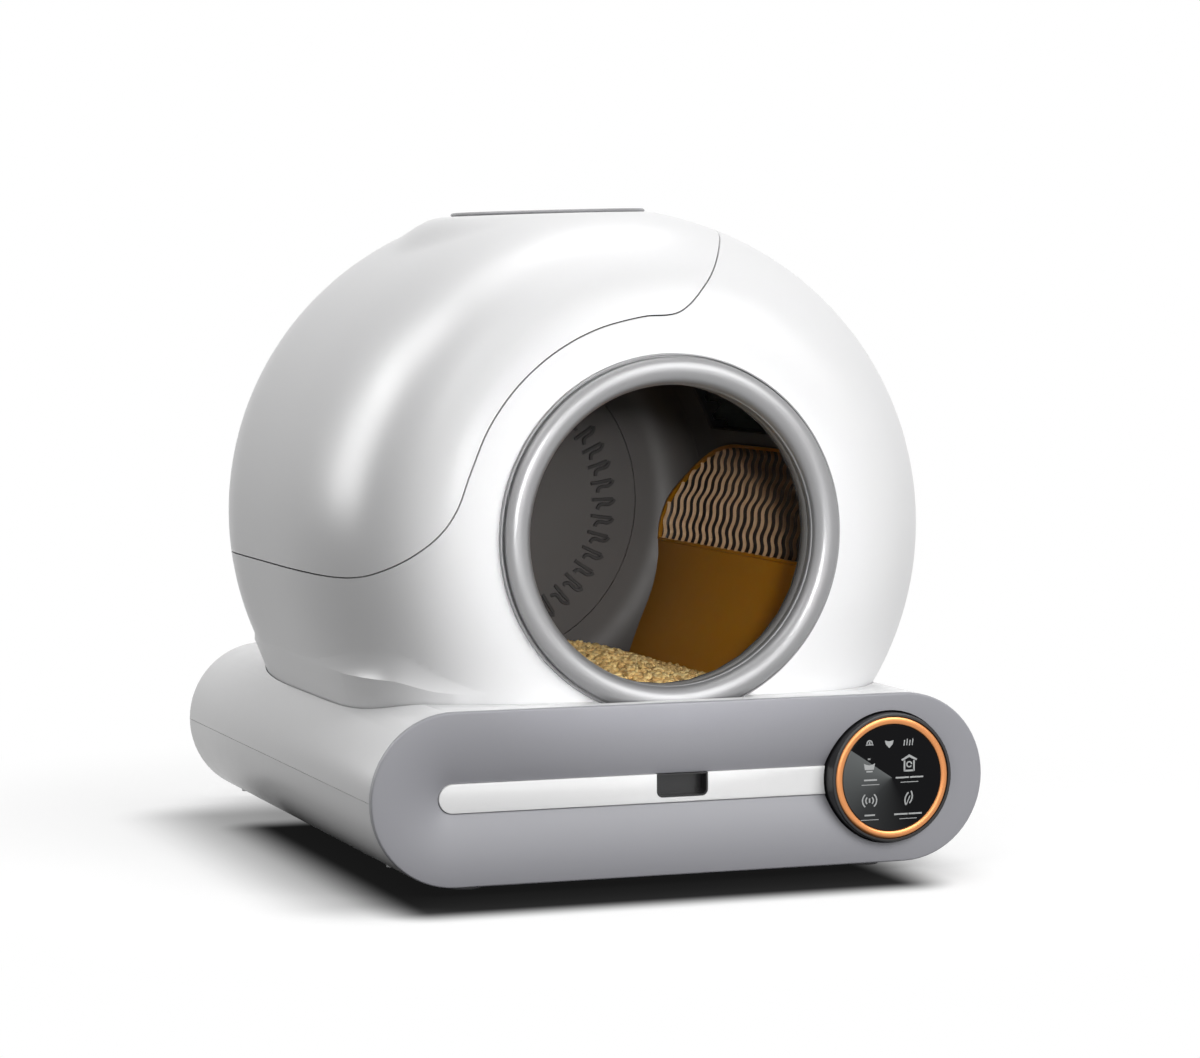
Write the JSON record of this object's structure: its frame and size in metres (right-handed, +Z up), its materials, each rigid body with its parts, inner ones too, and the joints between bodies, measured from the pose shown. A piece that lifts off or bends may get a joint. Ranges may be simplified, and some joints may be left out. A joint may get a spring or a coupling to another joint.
{
  "type": "self cleaning litter box",
  "caption": "Litter box whose drum with a sieve turns inside a round hood with a ring entrance and a hinged lid, on a pill-shaped base with a pull-out waste drawer and a touch disc.",
  "frame": {"origin": "on the floor, at the middle of the bounding box's bottom face", "axes": "+Z up, the front with the round entrance and the drawer faces -Y, +X to the right as seen from the front"},
  "size_m": [0.5428, 0.6112, 0.551],
  "materials": {
    "white_shell": "smooth white moulding",
    "white_hood": "glossy white moulding",
    "white_strip": "satin white",
    "fascia_grey": "fine satin, lavender grey",
    "silver_ring": "satin silver coating",
    "grey_cap": "matte grey",
    "drum_plastic": "dark warm grey, fine texture",
    "gear_plastic": "dark grey acetal",
    "pinion_plastic": "natural acetal",
    "deck_plastic": "plain grey moulding",
    "tray_plastic": "plain light grey moulding",
    "amber_plastic": "amber, half glossy",
    "sieve_plastic": "brown amber, half glossy",
    "litter": "sandy plant pellets",
    "black_plastic": "glossy black",
    "copper_trim": "copper-coloured satin ring",
    "black_glass": "glossy black panel",
    "circuit_board": "green circuit board",
    "steel": "plain steel",
    "roller_rubber": "black rubber",
    "foot_rubber": "grey rubber",
    "seal_felt": "black felt",
    "filter_foam": "black filter foam"
  },
  "bodies": {
    "base": {"base_lower": "white_shell", "base_upper": "white_shell", "base_screw_front_left": "steel", "base_screw_rear_left": "steel", "base_screw_front_right": "steel", "base_screw_rear_right": "steel", "foot_front_left": "foot_rubber", "foot_rear_left": "foot_rubber", "foot_front_right": "foot_rubber", "foot_rear_right": "foot_rubber", "gearbox": "steel", "drive_motor": "steel", "inner_deck": "deck_plastic", "roller_axle_front_left": "steel", "roller_axle_front_right": "steel", "roller_axle_rear_left": "steel", "roller_axle_rear_right": "steel", "hood_body": "white_hood", "hinge_pin_front": "steel", "hinge_pin_rear": "steel", "entrance_ring": "silver_ring", "mouth_seal": "seal_felt", "control_housing": "black_plastic", "control_trim": "copper_trim", "control_glass": "black_glass", "touch_board": "circuit_board", "main_board": "circuit_board", "power_inlet": "black_plastic"},
    "lid": {"hood_lid": "white_hood", "filter_cap": "grey_cap", "odour_filter": "filter_foam"},
    "drum": {"drum_nose": "drum_plastic", "drum_shell": "drum_plastic", "drum_rear_ring": "drum_plastic", "drum_back": "drum_plastic", "drum_gear": "gear_plastic", "scoop": "amber_plastic", "sieve": "sieve_plastic", "litter_bed": "litter"},
    "pinion": {"drive_pinion": "pinion_plastic"},
    "front_left_roller": {"roller_front_left": "roller_rubber"},
    "front_right_roller": {"roller_front_right": "roller_rubber"},
    "rear_left_roller": {"roller_rear_left": "roller_rubber"},
    "rear_right_roller": {"roller_rear_right": "roller_rubber"},
    "drawer": {"drawer_front": "fascia_grey", "drawer_strip": "white_strip", "finger_pull": "black_plastic", "drawer_tray": "tray_plastic"}
  },
  "joints": [
    {"name": "lid_hinge", "type": "hinge", "parent": "base", "child": "lid", "pos_m": [0.09363, 0, 0.53474], "axis": [0, 1, 0], "range_deg": [0, 70]},
    {"name": "drum_spin", "type": "hinge", "parent": "base", "child": "drum", "pos_m": [0, 0, 0.28], "axis": [0, 1, 0], "continuous": true},
    {"name": "pinion_spin", "type": "hinge", "parent": "base", "child": "pinion", "pos_m": [0.14985, 0.1277, 0.0882], "axis": [0, 1, 0], "continuous": true},
    {"name": "front_left_roller_spin", "type": "hinge", "parent": "base", "child": "front_left_roller", "pos_m": [-0.14032, -0.1608, 0.11277], "axis": [0, 1, 0], "continuous": true},
    {"name": "front_right_roller_spin", "type": "hinge", "parent": "base", "child": "front_right_roller", "pos_m": [0.14032, -0.1608, 0.11277], "axis": [0, 1, 0], "continuous": true},
    {"name": "rear_left_roller_spin", "type": "hinge", "parent": "base", "child": "rear_left_roller", "pos_m": [-0.14032, 0.0887, 0.11277], "axis": [0, 1, 0], "continuous": true},
    {"name": "rear_right_roller_spin", "type": "hinge", "parent": "base", "child": "rear_right_roller", "pos_m": [0.14032, 0.0887, 0.11277], "axis": [0, 1, 0], "continuous": true},
    {"name": "drawer_slide", "type": "slide", "parent": "base", "child": "drawer", "axis": [0, -1, 0], "range_m": [0, 0.35]}
  ],
  "couplings": [
    {"joint": "pinion_spin", "follows": "drum_spin", "ratio": -8},
    {"joint": "front_left_roller_spin", "follows": "drum_spin", "ratio": -14.571},
    {"joint": "front_right_roller_spin", "follows": "drum_spin", "ratio": -14.571},
    {"joint": "rear_left_roller_spin", "follows": "drum_spin", "ratio": -14.571},
    {"joint": "rear_right_roller_spin", "follows": "drum_spin", "ratio": -14.571}
  ]
}
